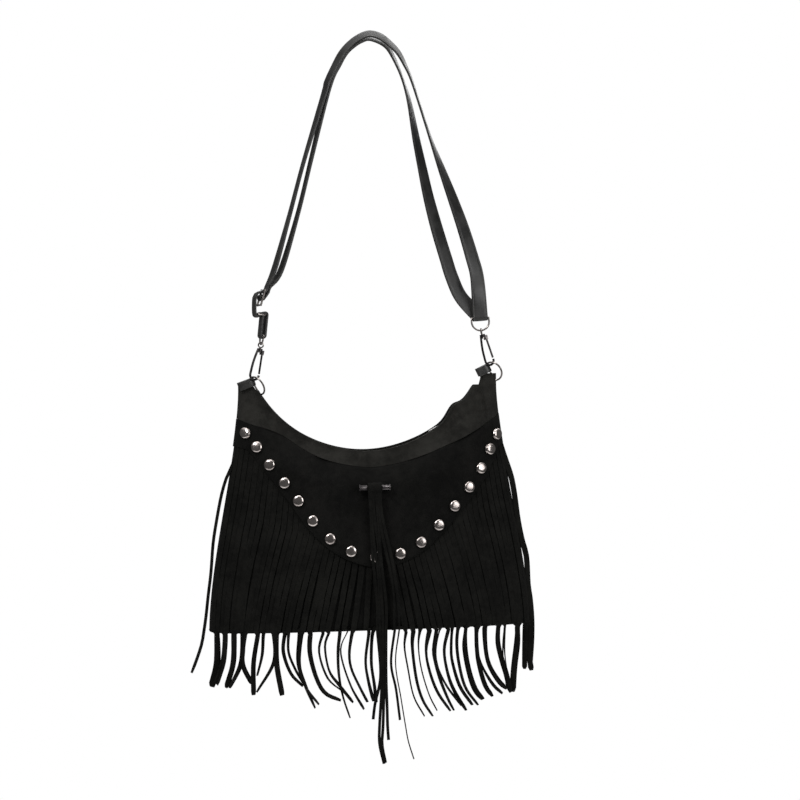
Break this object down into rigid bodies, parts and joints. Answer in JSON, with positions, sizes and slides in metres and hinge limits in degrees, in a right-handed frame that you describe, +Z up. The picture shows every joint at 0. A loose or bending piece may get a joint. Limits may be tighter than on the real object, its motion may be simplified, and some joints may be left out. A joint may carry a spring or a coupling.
{
  "type": "fringed shoulder bag",
  "caption": "Slouchy fringed suede shoulder bag with dome rivets, a toggle tassel, an open zip mouth and a doubled strap on swivel snap hooks.",
  "frame": {"origin": "underside of the doubled strap at its highest point, where it hangs", "axes": "+Z up along the hang, +X to the bag's right as seen from its front, +Y towards its back"},
  "size_m": [0.3304, 0.1047, 0.7288],
  "materials": {
    "suede": "matt black suede with a short nap",
    "facing_suede": "matt black suede, nap brushed lighter",
    "strap_leather": "smooth black leather, low sheen",
    "lining_cloth": "plain black cloth",
    "dark_nickel": "polished dark nickel",
    "gunmetal": "black nickel plating"
  },
  "bodies": {
    "strap": {"strap": "strap_leather", "strap_slider": "dark_nickel", "left_upper_ring": "dark_nickel", "left_strap_tab": "strap_leather", "left_lower_ring": "dark_nickel"},
    "bag": {"back_facing": "facing_suede", "back_panel": "suede", "base_panel": "suede", "fringe": "suede", "front_facing": "facing_suede", "front_panel": "suede", "front_yoke": "suede", "lace_wrap": "suede", "left_ear_ring": "dark_nickel", "left_ear_tab": "strap_leather", "left_swivel_eye": "dark_nickel", "lining": "lining_cloth", "right_ear_ring": "dark_nickel", "right_ear_tab": "strap_leather", "right_strap_ring": "dark_nickel", "right_swivel_eye": "dark_nickel", "stud_01": "dark_nickel", "stud_02": "dark_nickel", "stud_03": "dark_nickel", "stud_04": "dark_nickel", "stud_05": "dark_nickel", "stud_06": "dark_nickel", "stud_07": "dark_nickel", "stud_08": "dark_nickel", "stud_09": "dark_nickel", "stud_10": "dark_nickel", "stud_11": "dark_nickel", "stud_12": "dark_nickel", "stud_13": "dark_nickel", "stud_14": "dark_nickel", "stud_15": "dark_nickel", "stud_16": "dark_nickel", "stud_17": "dark_nickel", "tassel": "suede", "toggle_bar": "gunmetal", "zip_coil_back": "lining_cloth", "zip_coil_front": "lining_cloth", "zip_tape_back": "lining_cloth", "zip_tape_front": "lining_cloth"},
    "left_hook": {"left_hook": "gunmetal", "left_gate_rivet": "dark_nickel"},
    "right_hook": {"right_hook": "gunmetal", "right_gate_rivet": "dark_nickel"},
    "left_gate": {"left_gate": "dark_nickel"},
    "right_gate": {"right_gate": "dark_nickel"},
    "zip_slider": {"zip_slider": "dark_nickel"},
    "zip_pull": {"zip_pull": "dark_nickel"}
  },
  "joints": [
    {"name": "bag_swing", "type": "hinge", "parent": "strap", "child": "bag", "pos_m": [0.00155, -0.00192, -0.28564], "axis": [0.9884, 0.127, 0.0835], "range_deg": [-20, 20]},
    {"name": "left_hook_swivel", "type": "hinge", "parent": "bag", "child": "left_hook", "pos_m": [-0.1084, -0.01619, -0.30433], "axis": [-0.2079, 0, -0.9781], "range_deg": [-15, 15]},
    {"name": "left_gate_press", "type": "hinge", "parent": "left_hook", "child": "left_gate", "pos_m": [-0.1074, -0.01459, -0.31293], "axis": [0.4891, -0.866, -0.104], "range_deg": [-20, 0], "stiffness_Nm_per_rad": 0.004, "springref_deg": 8.59},
    {"name": "right_hook_swivel", "type": "hinge", "parent": "bag", "child": "right_hook", "pos_m": [0.11154, 0.01206, -0.28985], "axis": [0.2706, 0, -0.9627], "range_deg": [-15, 15]},
    {"name": "right_gate_press", "type": "hinge", "parent": "right_hook", "child": "right_gate", "pos_m": [0.11648, 0.01356, -0.29698], "axis": [0.452, -0.8829, 0.127], "range_deg": [-20, 0], "stiffness_Nm_per_rad": 0.004, "springref_deg": 8.59},
    {"name": "zip_slide", "type": "hinge", "parent": "bag", "child": "zip_slider", "pos_m": [-0.00737, 0.00005, -0.26884], "axis": [-0.114, 0.9928, 0.0356], "range_deg": [0, 68]},
    {"name": "zip_pull_lift", "type": "hinge", "parent": "zip_slider", "child": "zip_pull", "pos_m": [0.07267, 0.01333, -0.38282], "axis": [-0.114, 0.9928, 0.0356], "range_deg": [0, 120]}
  ]
}
